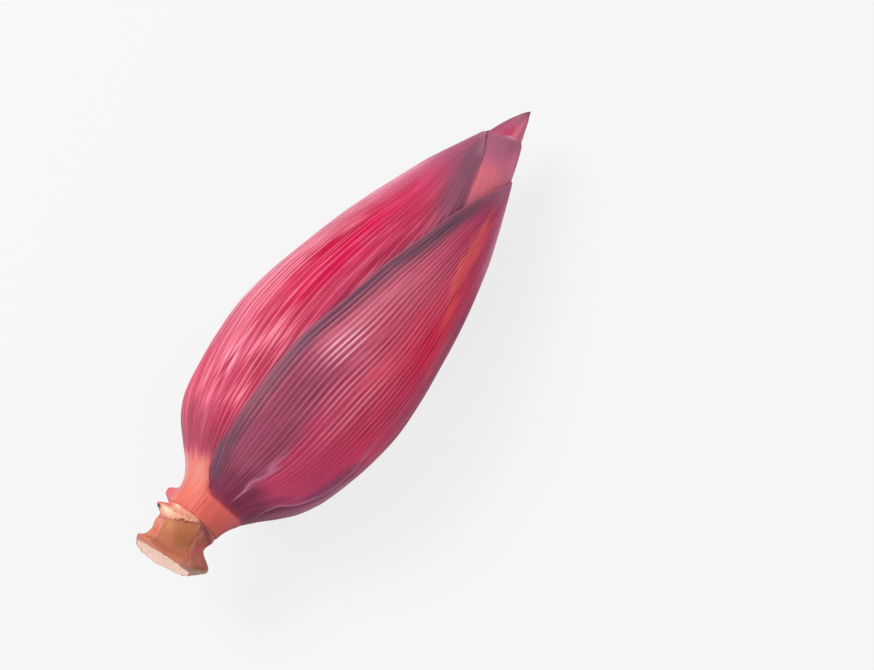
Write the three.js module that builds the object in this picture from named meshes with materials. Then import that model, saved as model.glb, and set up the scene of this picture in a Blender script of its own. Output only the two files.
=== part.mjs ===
// A banana blossom, the heart-shaped bud of a banana plant, cut with a stub of its stem and lying on its
// belly.
//
// The bud is a tight roll of leathery bracts round a stem. Four bracts show: the outermost one wraps over
// the second, and those two leave the third and fourth bare towards the apex. Inside them is the inner bud
// of still younger bracts, rolled solid. Each bract sits half a turn less 30 degrees round from the one
// before it.
//
// The blossom's own frame: +X runs along its axis from the cut face to the apex, and a place on it is a
// station (mm along the axis) and a meridian (degrees round it, from local +Z towards -Y). Sheets lie on
// levels: level 0 is the outermost, and each further level lies one sheet deeper. Lengths are millimetres,
// angles degrees.

import * as THREE from "three";

// ---------------------------------------------------------------- driving dimensions

const APEX = 290; // station of the apex, which is the blossom's length

// The bud's outline over its outermost level: [station, radius].
const OUTLINE = [
  [22, 13.8], [28, 14.5], [34, 15.9], [41, 19.8], [49, 27.2], [57, 35.0], [62, 38.6], [69, 42.1],
  [80, 45.1], [98, 48.2], [117, 49.7], [136, 48.5], [158, 45.0], [180, 40.4], [205, 34.1],
  [229, 26.9], [242, 21.9], [254, 17.0], [264, 13.3], [270, 11.3], [277, 8.9], [285, 5.9], [APEX, 3.4],
];

// The depth of one level, a sheet and the gap under it: [station, depth].
const LEVEL_DEPTH = [
  [22, 1.32], [45, 1.45], [85, 2.2], [200, 2.1], [250, 1.32], [262, 1.08], [APEX, 1.0],
];
const SHEET_GAP = 0.6; // air between two sheets in the belly
const TIGHT_GAP = 0.4; // air between two sheets where they are thinnest
const GAP_SHARE = 0.32; // of a level's depth, where neither limit holds
const MARGIN_THICKNESS = 0.75; // of a sheet along its free edge
const THINNEST_SHEET = 0.62;
const RIB_RELIEF = 0.75; // how far the grooves between a bract's lengthwise ribs are sunk
const RIB_COLUMNS = 3; // of the mesh to a rib, one of them sunk
const TRIGONAL = { height: 0.5, meridian: 74, from: [50, 90], to: [200, 250] }; // swellings round the belly
const LEANS = [ // where the axis wanders towards meridian -90, or away from it
  { lean: 0.4, station: 276, span: 10 },
  { lean: -0.9, station: 37, span: 8 },
];

// How it lies: the axis dips towards the apex, and the blossom is rolled about that axis.
const DIP = 4.8;
const ROLL = 9.5;
const AXIS_HEIGHT = 46.95; // of the axis above the surface, at the origin's station
const FACES_DOWN = 0.2; // the least downward part of a meridian's direction that can meet the surface
const SOFT_EDGE = 1.2; // of the flat spot's dent in the inner sheets
const ORIGIN_STATION = 143.4;
const ORIGIN_ACROSS = -0.5; // the bounding box's middle, measured across the axis

// The cut stem.
const STEM_RADIUS = 13.5;
const STEM_SHOULDER = 23.2; // where the bract bases butt against it
const CORE = [[STEM_SHOULDER, 10.2], [36, 11.2], [43.4, 12.4]]; // [station, radius] inside the bract bases
const CUT_RIM = [ // the slanting, slightly bent cut: [meridian, the rim's station]
  [-180, -1.2], [-145, -1.8], [-110, -1.2], [-90, -0.6], [-45, -0.6], [0, 0.2], [60, 1.8], [90, 2.4],
  [130, 1.2], [180, -1.2],
];
const CUT_HOLLOW = 0.9; // how far the middle of the cut face is sunk
const CUT_FLARE = { rise: 0.8, length: 5 }; // the stem widens towards the cut
const CUT_FADE = 14; // how far along the stem the cut's slant dies out
const CUT_RINGS = [0.35, 0.7]; // of the mesh on the cut face, as shares of its radius

// ---------------------------------------------------------------- helpers

const rad = THREE.MathUtils.degToRad;
const { lerp, clamp, smoothstep } = THREE.MathUtils;

// A smooth function through [x, y] points that never overshoots them (a monotone cubic).
function curveThrough(points) {
  const slope = points.slice(1).map(([x, y], i) => (y - points[i][1]) / (x - points[i][0]));
  const tangent = points.map((_, i) => {
    if (i === 0) return slope[0];
    if (i === points.length - 1) return slope[i - 1];
    if (slope[i - 1] * slope[i] <= 0) return 0;
    return (2 * slope[i - 1] * slope[i]) / (slope[i - 1] + slope[i]);
  });
  return (x) => {
    const last = points.length - 1;
    if (x <= points[0][0]) return points[0][1];
    if (x >= points[last][0]) return points[last][1];
    const i = points.findIndex(([end]) => end > x) - 1;
    const width = points[i + 1][0] - points[i][0];
    const t = (x - points[i][0]) / width;
    const rise = slope[i] * width;
    const a = tangent[i] * width - rise;
    const b = rise - tangent[i + 1] * width;
    return lerp(points[i][1], points[i + 1][1], t) + t * (1 - t) * (a * (1 - t) + b * t);
  };
}

// A meridian brought into -180 to 180.
const turnOf = (meridian) => ((((meridian + 180) % 360) + 360) % 360) - 180;

// How high a place stands on a smooth swelling, from 0 to 1 at its middle; the spans are its half-widths.
function hill({ station, meridian }, swelling) {
  const along = (station - swelling.station) / swelling.stationSpan;
  const round = turnOf(meridian - swelling.meridian) / swelling.meridianSpan;
  return Math.exp(-along * along - round * round);
}

function pointAt(station, meridian, radius) {
  const a = rad(meridian);
  return [station - ORIGIN_STATION, -radius * Math.sin(a), radius * Math.cos(a)];
}

// ---------------------------------------------------------------- the levels that the sheets lie on

const outline = curveThrough(OUTLINE);
const levelDepth = curveThrough(LEVEL_DEPTH);

// A level's radius before the blossom is set down. The levels are shifted a little towards meridian -90, so
// that the second bract stands as far out on its side as the outermost one does on the other.
function freeRadius(station, meridian, level) {
  const depth = levelDepth(station);
  const sideways = Math.sin(rad(meridian));
  const swell = TRIGONAL.height * Math.cos(rad(3 * (meridian - TRIGONAL.meridian)));
  const bellyOnly = smoothstep(station, ...TRIGONAL.from) * (1 - smoothstep(station, ...TRIGONAL.to));
  const lean = LEANS.reduce((sum, at) => {
    const off = (station - at.station) / at.span;
    return sum + at.lean * Math.exp(-off * off);
  }, 0);
  return outline(station) - (level - 0.5 + 0.5 * sideways) * depth + swell * bellyOnly - lean * sideways;
}

// How far the outermost level, left free, would reach below the surface that the blossom lies on, measured
// along the radius. It is negative where that level is clear of the surface.
function overreach(station, meridian) {
  const downward = -Math.cos(rad(DIP)) * Math.cos(rad(meridian + ROLL));
  if (downward < FACES_DOWN) return -AXIS_HEIGHT;
  const height = AXIS_HEIGHT - Math.sin(rad(DIP)) * (station - ORIGIN_STATION);
  return freeRadius(station, meridian, 0) - height / downward;
}

// The levels are pressed in by the flat spot that the blossom lies on: the outermost one sharply, so that
// the spot is truly flat, and those inside it with a soft edge.
function levelRadius(station, meridian, level) {
  const over = overreach(station, meridian);
  const pressed = level < 1 ? Math.max(0, over) : 0.5 * (over + Math.hypot(over, SOFT_EDGE));
  return freeRadius(station, meridian, level) - pressed;
}

// The outermost bract's end lies past the second one's margin, and sinks there by one level onto the third.
const OUTERMOST_SINKS = { stations: [207, 242], meridians: [20, 62] };
function outermostLevel(station, meridian) {
  const { stations, meridians } = OUTERMOST_SINKS;
  return smoothstep(station, ...stations) * smoothstep(meridian, ...meridians);
}

// ---------------------------------------------------------------- closed meshes

// A closed body between two grids of points, outer(c, r) and inner(c, r), with columns round it and rows
// along it.
function sheetGeometry(columns, rows, outer, inner) {
  const across = columns + 1;
  const count = across * (rows + 1);
  const position = [];
  for (const side of [outer, inner])
    for (let r = 0; r <= rows; r++)
      for (let c = 0; c <= columns; c++) position.push(...side(c, r));
  const index = [];
  const quad = (a, b, c, d) => index.push(a, b, c, a, c, d);
  const at = (c, r) => r * across + c;
  for (let r = 0; r < rows; r++)
    for (let c = 0; c < columns; c++) {
      quad(at(c, r), at(c + 1, r), at(c + 1, r + 1), at(c, r + 1));
      quad(count + at(c, r), count + at(c, r + 1), count + at(c + 1, r + 1), count + at(c + 1, r));
    }
  for (let c = 0; c < columns; c++) {
    quad(at(c + 1, 0), at(c, 0), count + at(c, 0), count + at(c + 1, 0));
    quad(at(c, rows), at(c + 1, rows), count + at(c + 1, rows), count + at(c, rows));
  }
  for (let r = 0; r < rows; r++) {
    quad(at(0, r), at(0, r + 1), count + at(0, r + 1), count + at(0, r));
    quad(at(columns, r + 1), at(columns, r), count + at(columns, r), count + at(columns, r + 1));
  }
  return geometryOf(position, index);
}

// A closed body of rings, point(c, r), with a middle point over its first and its last ring.
function ringsGeometry(segments, rings, point, firstMiddle, lastMiddle) {
  const position = [];
  for (let r = 0; r < rings; r++)
    for (let c = 0; c < segments; c++) position.push(...point(c, r));
  position.push(...firstMiddle, ...lastMiddle);
  const first = segments * rings;
  const index = [];
  for (let c = 0; c < segments; c++) {
    const next = (c + 1) % segments;
    for (let r = 0; r < rings - 1; r++) {
      const a = r * segments + c;
      const b = r * segments + next;
      index.push(a, b, b + segments, a, b + segments, a + segments);
    }
    index.push(first, next, c);
    index.push(first + 1, (rings - 1) * segments + c, (rings - 1) * segments + next);
  }
  return geometryOf(position, index);
}

function geometryOf(position, index) {
  const geometry = new THREE.BufferGeometry();
  geometry.setAttribute("position", new THREE.Float32BufferAttribute(position, 3));
  geometry.setIndex(index);
  geometry.computeVertexNormals();
  return geometry;
}

// ---------------------------------------------------------------- bracts

// Each bract: its level, the meridian of its keel, the stations of its base, of the end of its two sides and
// of its tip, how square the tip is cut, its mesh's columns, how far each side reaches round from the keel
// ([station, degrees]), and its swellings.
const BRACTS = [
  {
    name: "bract_outer", level: 0, keel: 74, base: 23.6, sideEnd: 248, tip: 252.4, squareness: 2,
    columns: 27,
    left: [[23.6, 72], [34, 78], [38.5, 88], [44, 98], [50, 98], [60, 93], [104, 91.5], [141, 85.5],
      [167, 81.5], [194, 74], [208, 69], [222, 60.5], [235, 48], [243, 34], [248, 18]],
    right: [[23.6, 95], [36, 95], [46, 108], [62, 120], [104, 131], [150, 124], [194, 102], [220, 78],
      [234, 60], [243, 42], [248, 20]],
    swellings: [{ station: 46, meridian: 97, stationSpan: 13, meridianSpan: 42, height: 3.4 }],
  },
  {
    name: "bract_second", level: 1, keel: -74, base: 24.4, sideEnd: 258, tip: 264.4, squareness: 2,
    columns: 27,
    left: [[24.4, 118], [60, 108], [150, 102], [190, 97], [223, 86], [244, 72], [253, 59], [258, 44]],
    right: [[24.4, 84], [60, 94], [120, 97], [190, 92], [223, 81], [244, 66.5], [253, 54], [258, 40]],
    swellings: [{ station: 26.8, meridian: -102, stationSpan: 3.4, meridianSpan: 17, height: 4.4 }],
  },
  {
    name: "bract_third", level: 2, keel: 136, base: 31, sideEnd: 260.5, tip: 271.6, squareness: 6,
    columns: 24,
    left: [[31, 95], [60, 100], [150, 108], [200, 122], [222, 140], [240, 158], [253, 170], [260.5, 176]],
    right: [[31, 95], [60, 100], [150, 105], [210, 115], [240, 136], [260.5, 160]],
    swellings: [],
  },
  {
    name: "bract_fourth", level: 3, keel: -14, base: 38, sideEnd: 287, tip: APEX, squareness: 2, columns: 21,
    left: [[38, 95], [60, 100], [150, 108], [210, 114], [250, 122], [272, 116], [280, 98], [284.5, 76],
      [287, 52]],
    right: [[38, 95], [60, 100], [150, 108], [210, 114], [250, 122], [272, 112], [280, 94], [284.5, 74],
      [287, 52]],
    swellings: [],
  },
];

// Rows stand closer together over the shoulder and towards the tip than along the belly.
const ROW_STATIONS = curveThrough([
  [0, 0], [0.13, 0.035], [0.36, 0.17], [0.53, 0.38], [0.78, 0.8], [0.9, 0.935], [1, 1],
]);
const BRACT_ROWS = 28;
const TIP_ONLY = 6; // the power that keeps a row's bow near the tip

function bractGeometry(bract) {
  const levelAt = bract.level === 0 ? outermostLevel : () => bract.level;
  const leftReach = curveThrough(bract.left);
  const rightReach = curveThrough(bract.right);
  const place = (c, r) => {
    const along = ROW_STATIONS(r / BRACT_ROWS);
    const sideStation = lerp(bract.base, bract.sideEnd, along);
    const u = (2 * c) / bract.columns - 1;
    const reach = u < 0 ? leftReach(sideStation) : rightReach(sideStation);
    const bow = (bract.tip - bract.sideEnd) * along ** TIP_ONLY * (1 - Math.abs(u) ** bract.squareness);
    const atMargin = c === 0 || c === bract.columns;
    const groove = c % RIB_COLUMNS === 0 ? 4 * along * (1 - along) : 0; // 0 at both ends, 1 halfway
    return { station: sideStation + bow, meridian: bract.keel + u * reach, atMargin, groove };
  };
  const innerRadius = ({ station, meridian }) => {
    const depth = levelDepth(station);
    const gap = clamp(GAP_SHARE * depth, TIGHT_GAP, SHEET_GAP);
    const outside = levelRadius(station, meridian, levelAt(station, meridian));
    return outside - Math.max(depth - gap, THINNEST_SHEET);
  };
  const outerRadius = (at) => {
    const thick = levelRadius(at.station, at.meridian, levelAt(at.station, at.meridian)) - innerRadius(at);
    const raised = bract.swellings.reduce((sum, swelling) => sum + swelling.height * hill(at, swelling), 0);
    const sunk = overreach(at.station, at.meridian) > 0 ? 0 : RIB_RELIEF * at.groove;
    const left = at.atMargin ? Math.min(thick, MARGIN_THICKNESS) : Math.max(thick - sunk, THINNEST_SHEET);
    return innerRadius(at) + left + raised;
  };
  const pointOn = (radius) => (c, r) => {
    const at = place(c, r);
    return pointAt(at.station, at.meridian, radius(at));
  };
  return sheetGeometry(bract.columns, BRACT_ROWS, pointOn(outerRadius), pointOn(innerRadius));
}

// ---------------------------------------------------------------- inner bud

const INNER_LEVEL = 4;
const INNER_BASE = 44;
const INNER_APEX = 284;
const INNER_TAPER = { share: 0.5, from: 256 }; // its tip is thinner than its level
const LAST_RING = 1.5; // from the apex
const INNER_SEGMENTS = 30;
const INNER_RINGS = 22;

function innerBudGeometry() {
  const last = INNER_RINGS - 1;
  return ringsGeometry(
    INNER_SEGMENTS,
    INNER_RINGS,
    (c, r) => {
      const meridian = (360 * c) / INNER_SEGMENTS;
      const station = lerp(INNER_BASE, INNER_APEX - LAST_RING, ROW_STATIONS(r / last));
      const shrink = 1 - INNER_TAPER.share * smoothstep(station, INNER_TAPER.from, INNER_APEX);
      return pointAt(station, meridian, levelRadius(station, meridian, INNER_LEVEL) * shrink);
    },
    pointAt(INNER_BASE, 0, 0),
    pointAt(INNER_APEX, 0, 0),
  );
}

// ---------------------------------------------------------------- stem

// The stub keeps the ridges where older bracts were torn off. Each ridge is a rim round the stem whose
// station, height and width change with the meridian.
const ridge = (station, height, width) => ({
  station: curveThrough(station), height: curveThrough(height), width: curveThrough(width),
});
const RIDGES = [
  // the flared lip behind the cut face, which is thick and hangs out on one side
  ridge(
    [[-180, 2.4], [-90, 1.4], [0, 2.0], [40, 4.6], [60, 6.6], [85, 8.8], [120, 6.0], [180, 2.4]],
    [[-180, 2.0], [-145, 1.4], [-95, -0.4], [-65, 2.4], [0, 1.2], [35, 5.4], [52, 7.2], [70, 7.6],
      [85, 7.2], [105, 6.2], [125, 4.2], [180, 2.0]],
    [[-180, 2.4], [-90, 1.7], [0, 2.2], [40, 4.2], [85, 4.6], [120, 4.2], [180, 2.4]],
  ),
  // the waist behind it
  ridge(
    [[-180, 9.0], [-90, 7.4], [0, 10.0], [85, 14.6], [180, 9.0]],
    [[-180, -1.0], [-90, -1.3], [0, -0.4], [85, -1.7], [130, -1.4], [180, -1.0]],
    [[-180, 4.5], [-90, 3.6], [0, 4.5], [85, 3.4], [180, 4.5]],
  ),
  // the slanting scar of the last bract removed, next to the bract bases
  ridge(
    [[-180, 20.0], [-90, 19.2], [-40, 17.8], [0, 20.4], [30, 21.4], [80, 20.6], [180, 20.0]],
    [[-180, 2.2], [-100, 4.6], [-70, 4.4], [-40, 2.6], [0, 1.5], [50, 0.9], [85, 0.3], [120, 1.0],
      [180, 2.2]],
    [[-180, 2.2], [-90, 2.1], [0, 2.3], [90, 2.4], [180, 2.2]],
  ),
];
const STEM_SEGMENTS = 40;
const SKIN_STATIONS = [
  0, 1.6, 3.4, 5.2, 7.2, 9.2, 11.2, 13.2, 15.2, 16.9, 18.4, 19.8, 21.2, 22.4, STEM_SHOULDER,
];

const cutRim = curveThrough(CUT_RIM);

function stemRadius(station, meridian) {
  const turn = turnOf(meridian);
  const flare = CUT_FLARE.rise * (1 - smoothstep(station, 0, CUT_FLARE.length));
  return RIDGES.reduce((radius, rim) => {
    const off = (station - rim.station(turn)) / rim.width(turn);
    return radius + rim.height(turn) * Math.exp(-off * off);
  }, STEM_RADIUS + flare);
}

function stemGeometry() {
  const rings = [];
  for (const share of CUT_RINGS) {
    const hollow = CUT_HOLLOW * (1 - share * share);
    rings.push((m) => [cutRim(turnOf(m)) * share + hollow, stemRadius(cutRim(turnOf(m)), m) * share]);
  }
  for (const station of SKIN_STATIONS) {
    const settle = 1 - smoothstep(station, 0, CUT_FADE);
    rings.push((m) => {
      const shifted = station + cutRim(turnOf(m)) * settle;
      return [shifted, stemRadius(shifted, m)];
    });
  }
  for (const [station, radius] of CORE) rings.push(() => [station, radius]);
  return ringsGeometry(
    STEM_SEGMENTS,
    rings.length,
    (c, r) => {
      const meridian = (360 * c) / STEM_SEGMENTS;
      const [station, radius] = rings[r](meridian);
      return pointAt(station, meridian, radius);
    },
    pointAt(CUT_HOLLOW, 0, 0),
    pointAt(CORE.at(-1)[0], 0, 0),
  );
}

// ---------------------------------------------------------------- materials and assembly

const finish = (color, roughness) => new THREE.MeshStandardMaterial({ color, roughness, metalness: 0 });
const FINISHES = {
  stem: finish(0xb9704f, 0.6),
  inner_bud: finish(0xc25a72, 0.5),
  bract_outer: finish(0x9c3b5c, 0.42),
  bract_second: finish(0xb8425f, 0.42),
  bract_third: finish(0xc4606c, 0.45),
  bract_fourth: finish(0xb04a68, 0.45),
};

function part(name, geometry) {
  const mesh = new THREE.Mesh(geometry, FINISHES[name]);
  mesh.name = name;
  return mesh;
}

const rolled = new THREE.Group(); // the blossom about its own axis
rolled.rotation.x = rad(ROLL);
rolled.add(part("stem", stemGeometry()), part("inner_bud", innerBudGeometry()));
for (const bract of BRACTS) rolled.add(part(bract.name, bractGeometry(bract)));

const blossom = new THREE.Group(); // lying on its belly, with the apex dipped
blossom.rotation.y = rad(DIP);
blossom.position.set(0, -ORIGIN_ACROSS, AXIS_HEIGHT);
blossom.add(rolled);

const lying = new THREE.Group(); // in the part's frame: origin on the surface, under the blossom's middle
lying.add(blossom);

export default lying;
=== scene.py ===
# The looks of the banana blossom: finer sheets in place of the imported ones, with their ribs, creases and
# colours.
#
# A place on the blossom is a station (mm along its axis from the cut face) and a meridian (degrees round it,
# from the top towards -Y, before it is rolled). Sheets lie on levels, level 0 outermost, as in the packed
# model.

import math

import bpy
import numpy as np
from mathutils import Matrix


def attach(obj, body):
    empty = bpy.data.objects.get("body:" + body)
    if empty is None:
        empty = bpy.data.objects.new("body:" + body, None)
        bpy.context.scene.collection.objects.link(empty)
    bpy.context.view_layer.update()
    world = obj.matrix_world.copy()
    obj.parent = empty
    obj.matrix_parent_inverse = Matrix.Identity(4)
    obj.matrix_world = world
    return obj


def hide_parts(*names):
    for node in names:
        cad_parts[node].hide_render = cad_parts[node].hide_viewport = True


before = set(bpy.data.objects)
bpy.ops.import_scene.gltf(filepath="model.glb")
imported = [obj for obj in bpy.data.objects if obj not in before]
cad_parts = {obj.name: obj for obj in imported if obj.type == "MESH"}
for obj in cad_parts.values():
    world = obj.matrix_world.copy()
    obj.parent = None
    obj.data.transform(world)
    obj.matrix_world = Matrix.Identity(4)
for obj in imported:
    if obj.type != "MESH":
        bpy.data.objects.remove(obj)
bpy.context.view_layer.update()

MM = 0.001
DRIFT_WAVES = 9
DRIFT_SPREAD = 3.2  # what brings the sum of so many waves mostly within -1 to 1

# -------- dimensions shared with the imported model

APEX = 290
OUTLINE = [
    (22, 13.8), (28, 14.5), (34, 15.9), (41, 19.8), (49, 27.2), (57, 35.0), (62, 38.6), (69, 42.1),
    (80, 45.1), (98, 48.2), (117, 49.7), (136, 48.5), (158, 45.0), (180, 40.4), (205, 34.1),
    (229, 26.9), (242, 21.9), (254, 17.0), (264, 13.3), (270, 11.3), (277, 8.9), (285, 5.9), (APEX, 3.4),
]
LEVEL_DEPTH = [(22, 1.32), (45, 1.45), (85, 2.2), (200, 2.1), (250, 1.32), (262, 1.08), (APEX, 1.0)]
SHEET_GAP = 0.6
TIGHT_GAP = 0.4
GAP_SHARE = 0.32
MARGIN_THICKNESS = 0.75
THINNEST_SHEET = 0.62
TRIGONAL_HEIGHT = 0.5
TRIGONAL_MERIDIAN = 74
TRIGONAL_FROM = (50, 90)
TRIGONAL_TO = (200, 250)
LEANS = [(0.4, 276, 10), (-0.9, 37, 8)]  # (lean, station, span)

DIP = 4.8
ROLL = 9.5
AXIS_HEIGHT = 46.95
FACES_DOWN = 0.2
SOFT_EDGE = 1.2
ORIGIN_STATION = 143.4
ORIGIN_ACROSS = -0.5
SINKS_STATIONS = (207, 242)
SINKS_MERIDIANS = (20, 62)

STEM_RADIUS = 13.5
STEM_SHOULDER = 23.2
CORE = [(STEM_SHOULDER, 10.2), (36, 11.2), (43.4, 12.4)]
CUT_RIM = [
    (-180, -1.2), (-145, -1.8), (-110, -1.2), (-90, -0.6), (-45, -0.6), (0, 0.2), (60, 1.8), (90, 2.4),
    (130, 1.2), (180, -1.2),
]
CUT_HOLLOW = 0.9
CUT_FLARE = 0.8
CUT_FLARE_LENGTH = 5
CUT_FADE = 14

# -------- helpers


def curve(points):
    """A smooth function through (x, y) points that never overshoots them (a monotone cubic)."""
    x, y = np.array(points, float).T
    slope = np.diff(y) / np.diff(x)
    tangent = np.zeros_like(y)
    tangent[0] = slope[0]
    tangent[-1] = slope[-1]
    before = slope[:-1]
    after = slope[1:]
    together = before * after > 0
    tangent[1:-1] = np.where(together, 2 * before * after / np.where(together, before + after, 1), 0)

    def value(at):
        at = np.clip(at, x[0], x[-1])
        i = np.clip(np.searchsorted(x, at, side="right") - 1, 0, len(slope) - 1)
        width = x[i + 1] - x[i]
        t = (at - x[i]) / width
        rise = slope[i] * width
        a = tangent[i] * width - rise
        b = rise - tangent[i + 1] * width
        return y[i] + (y[i + 1] - y[i]) * t + t * (1 - t) * (a * (1 - t) + b * t)

    return value


def rises(x, start, end):
    """0 up to start, 1 from end on, and smooth between them."""
    t = np.clip((x - start) / (end - start), 0, 1)
    return t * t * (3 - 2 * t)


def falls(x, start, end):
    return 1 - rises(x, start, end)


def between(x, start, full, fade, end):
    """Rises from start to full and falls again from fade to end."""
    return rises(x, start, full) * falls(x, fade, end)


def turn_of(meridian):
    """A meridian brought into -180 to 180."""
    return (meridian + 180) % 360 - 180


def sine(degrees):
    return np.sin(np.radians(degrees))


def cosine(degrees):
    return np.cos(np.radians(degrees))


def bell(x, width):
    return np.exp(-((x / width) ** 2))


def flat_bell(x, width):
    """A bell with a broad top and steeper sides."""
    return np.exp(-(np.abs(x / width) ** 3.5))


def drift(seed, *axes):
    """Smooth noise, mostly within -1 to 1, over coordinates already divided by their wavelengths."""
    draw = np.random.default_rng(seed)
    total = 0
    for _ in range(DRIFT_WAVES):
        phase = draw.uniform(0, 2 * math.pi)
        wave = sum(draw.normal() * axis for axis in axes)
        total += np.cos(2 * math.pi * wave + phase)
    return total / DRIFT_SPREAD


def place_points(station, meridian, radius):
    """The blossom's own coordinates brought into the shared frame, in metres."""
    x = station - ORIGIN_STATION
    across = -radius * sine(meridian)
    up = radius * cosine(meridian)
    y = across * cosine(ROLL) - up * sine(ROLL)
    z = across * sine(ROLL) + up * cosine(ROLL)
    lying_x = x * cosine(DIP) + z * sine(DIP)
    lying_z = -x * sine(DIP) + z * cosine(DIP) + AXIS_HEIGHT
    return np.stack([lying_x, y - ORIGIN_ACROSS, lying_z], -1) * MM


# -------- levels

outline = curve(OUTLINE)
level_depth = curve(LEVEL_DEPTH)


def unevenness(station, meridian):
    """Slight dents and swellings that all the sheets share."""
    round_x = cosine(meridian)
    round_y = sine(meridian)
    belly = between(station, 44, 80, 215, 262)
    return 0.3 * belly * drift(11, station / 110, round_x * 0.7, round_y * 0.7)


def free_radius(station, meridian, level):
    depth = level_depth(station)
    sideways = sine(meridian)
    swell = TRIGONAL_HEIGHT * cosine(3 * (meridian - TRIGONAL_MERIDIAN))
    belly = rises(station, *TRIGONAL_FROM) * falls(station, *TRIGONAL_TO)
    lean = sum(amount * bell(station - at, span) for amount, at, span in LEANS)
    return outline(station) - (level - 0.5 + 0.5 * sideways) * depth + swell * belly - lean * sideways


def overreach(station, meridian):
    """How far level 0, left free, would reach below the surface; negative where it is clear of it."""
    downward = -cosine(DIP) * cosine(meridian + ROLL)
    height = AXIS_HEIGHT - sine(DIP) * (station - ORIGIN_STATION)
    over = free_radius(station, meridian, 0) - height / np.maximum(downward, FACES_DOWN)
    return np.where(downward < FACES_DOWN, -AXIS_HEIGHT, over)


def level_radius(station, meridian, level):
    over = overreach(station, meridian)
    pressed = np.where(level < 1, np.maximum(0, over), 0.5 * (over + np.hypot(over, SOFT_EDGE)))
    clear = rises(-over, 0.6, 6)
    return free_radius(station, meridian, level) - pressed + unevenness(station, meridian) * clear


def outermost_level(station, meridian):
    return rises(station, *SINKS_STATIONS) * rises(meridian, *SINKS_MERIDIANS)


# -------- meshes


def add_object(name, data):
    thing = bpy.data.objects.new(name, data)
    bpy.context.collection.objects.link(thing)
    return thing


class Surface:
    """Grids of points and the faces between them, with a layout of the faces for baking."""

    def __init__(self):
        self.points = []
        self.count = 0
        self.faces = []
        self.layout = []

    def grid(self, points):
        """Adds rows x columns points and returns their indices in that shape."""
        rows, columns = points.shape[:2]
        index = np.arange(rows * columns).reshape(rows, columns) + self.count
        self.points.append(points.reshape(-1, 3))
        self.count += rows * columns
        return index

    def quads(self, index, layout, flip=False):
        """Faces between a grid's points; layout is (left, bottom, right, top) in the unit square."""
        rows, columns = index.shape
        left, bottom, right, top = layout
        u = np.broadcast_to(np.linspace(left, right, columns), index.shape)
        v = np.broadcast_to(np.linspace(bottom, top, rows)[:, None], index.shape)
        corners = []
        for field in (index, u, v):
            around = [field[:-1, :-1], field[:-1, 1:], field[1:, 1:], field[1:, :-1]]
            if flip:
                around.reverse()
            corners.append(np.stack([a.ravel() for a in around], 1))
        self.faces.extend(corners[0].tolist())
        self.layout.append(np.stack([corners[1].ravel(), corners[2].ravel()], 1))

    def face(self, loop, spots):
        self.faces.append([int(i) for i in loop])
        self.layout.append(np.array(spots, float))

    def build(self, name, fields):
        mesh = bpy.data.meshes.new(name)
        mesh.from_pydata(np.concatenate(self.points).tolist(), [], self.faces)
        layer = mesh.uv_layers.new(name="OFBake")
        layer.uv.foreach_set("vector", np.concatenate(self.layout).astype(np.float32).ravel())
        for key, values in fields.items():
            values = np.asarray(values, np.float32)
            kind, part = ("FLOAT_VECTOR", "vector") if values.ndim == 2 else ("FLOAT", "value")
            mesh.attributes.new(key, kind, "POINT").data.foreach_set(part, values.ravel())
        mesh.polygons.foreach_set("use_smooth", np.ones(len(mesh.polygons), bool))
        mesh.update()
        return add_object(name, mesh)


# -------- bracts

ROW_STATIONS = curve(
    [(0, 0), (0.13, 0.035), (0.36, 0.17), (0.53, 0.38), (0.78, 0.8), (0.9, 0.935), (1, 1)])
TIP_ONLY = 6
EDGE_COLUMNS = np.array([0, 0.0013, 0.0034, 0.0064, 0.0108])
EDGE_ROWS = np.array([0, 0.0005, 0.0014, 0.0028])
EDGE_SPACE = 0.002  # from the last of the edge columns to the next one
EDGE_ROW_SPACE = 0.001
COLUMNS_PER_RIB = 8
EDGE_ROUND = 0.36
LEAST_THICKNESS = 0.35
# Where a sheet's faces lie in the unit square: its upper face, its lower one and the strips of its edges.
UPPER_FACE = (0.01, 0.01, 0.99, 0.77)
LOWER_FACE = (0.01, 0.85, 0.99, 0.99)
SIDE_STRIPS = (0.785, 0.795)
END_STRIPS = (0.805, 0.815)
STRIP = 0.005
STRIPS_WIDTH = 0.97

# The outermost bract's free margin from its belly to its tip.
UPPER_MARGIN = [
    (104, 91.5), (141, 85.5), (167, 81.5), (194, 74), (208, 69), (222, 60.5), (235, 48), (243, 34), (248, 18),
]

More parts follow.
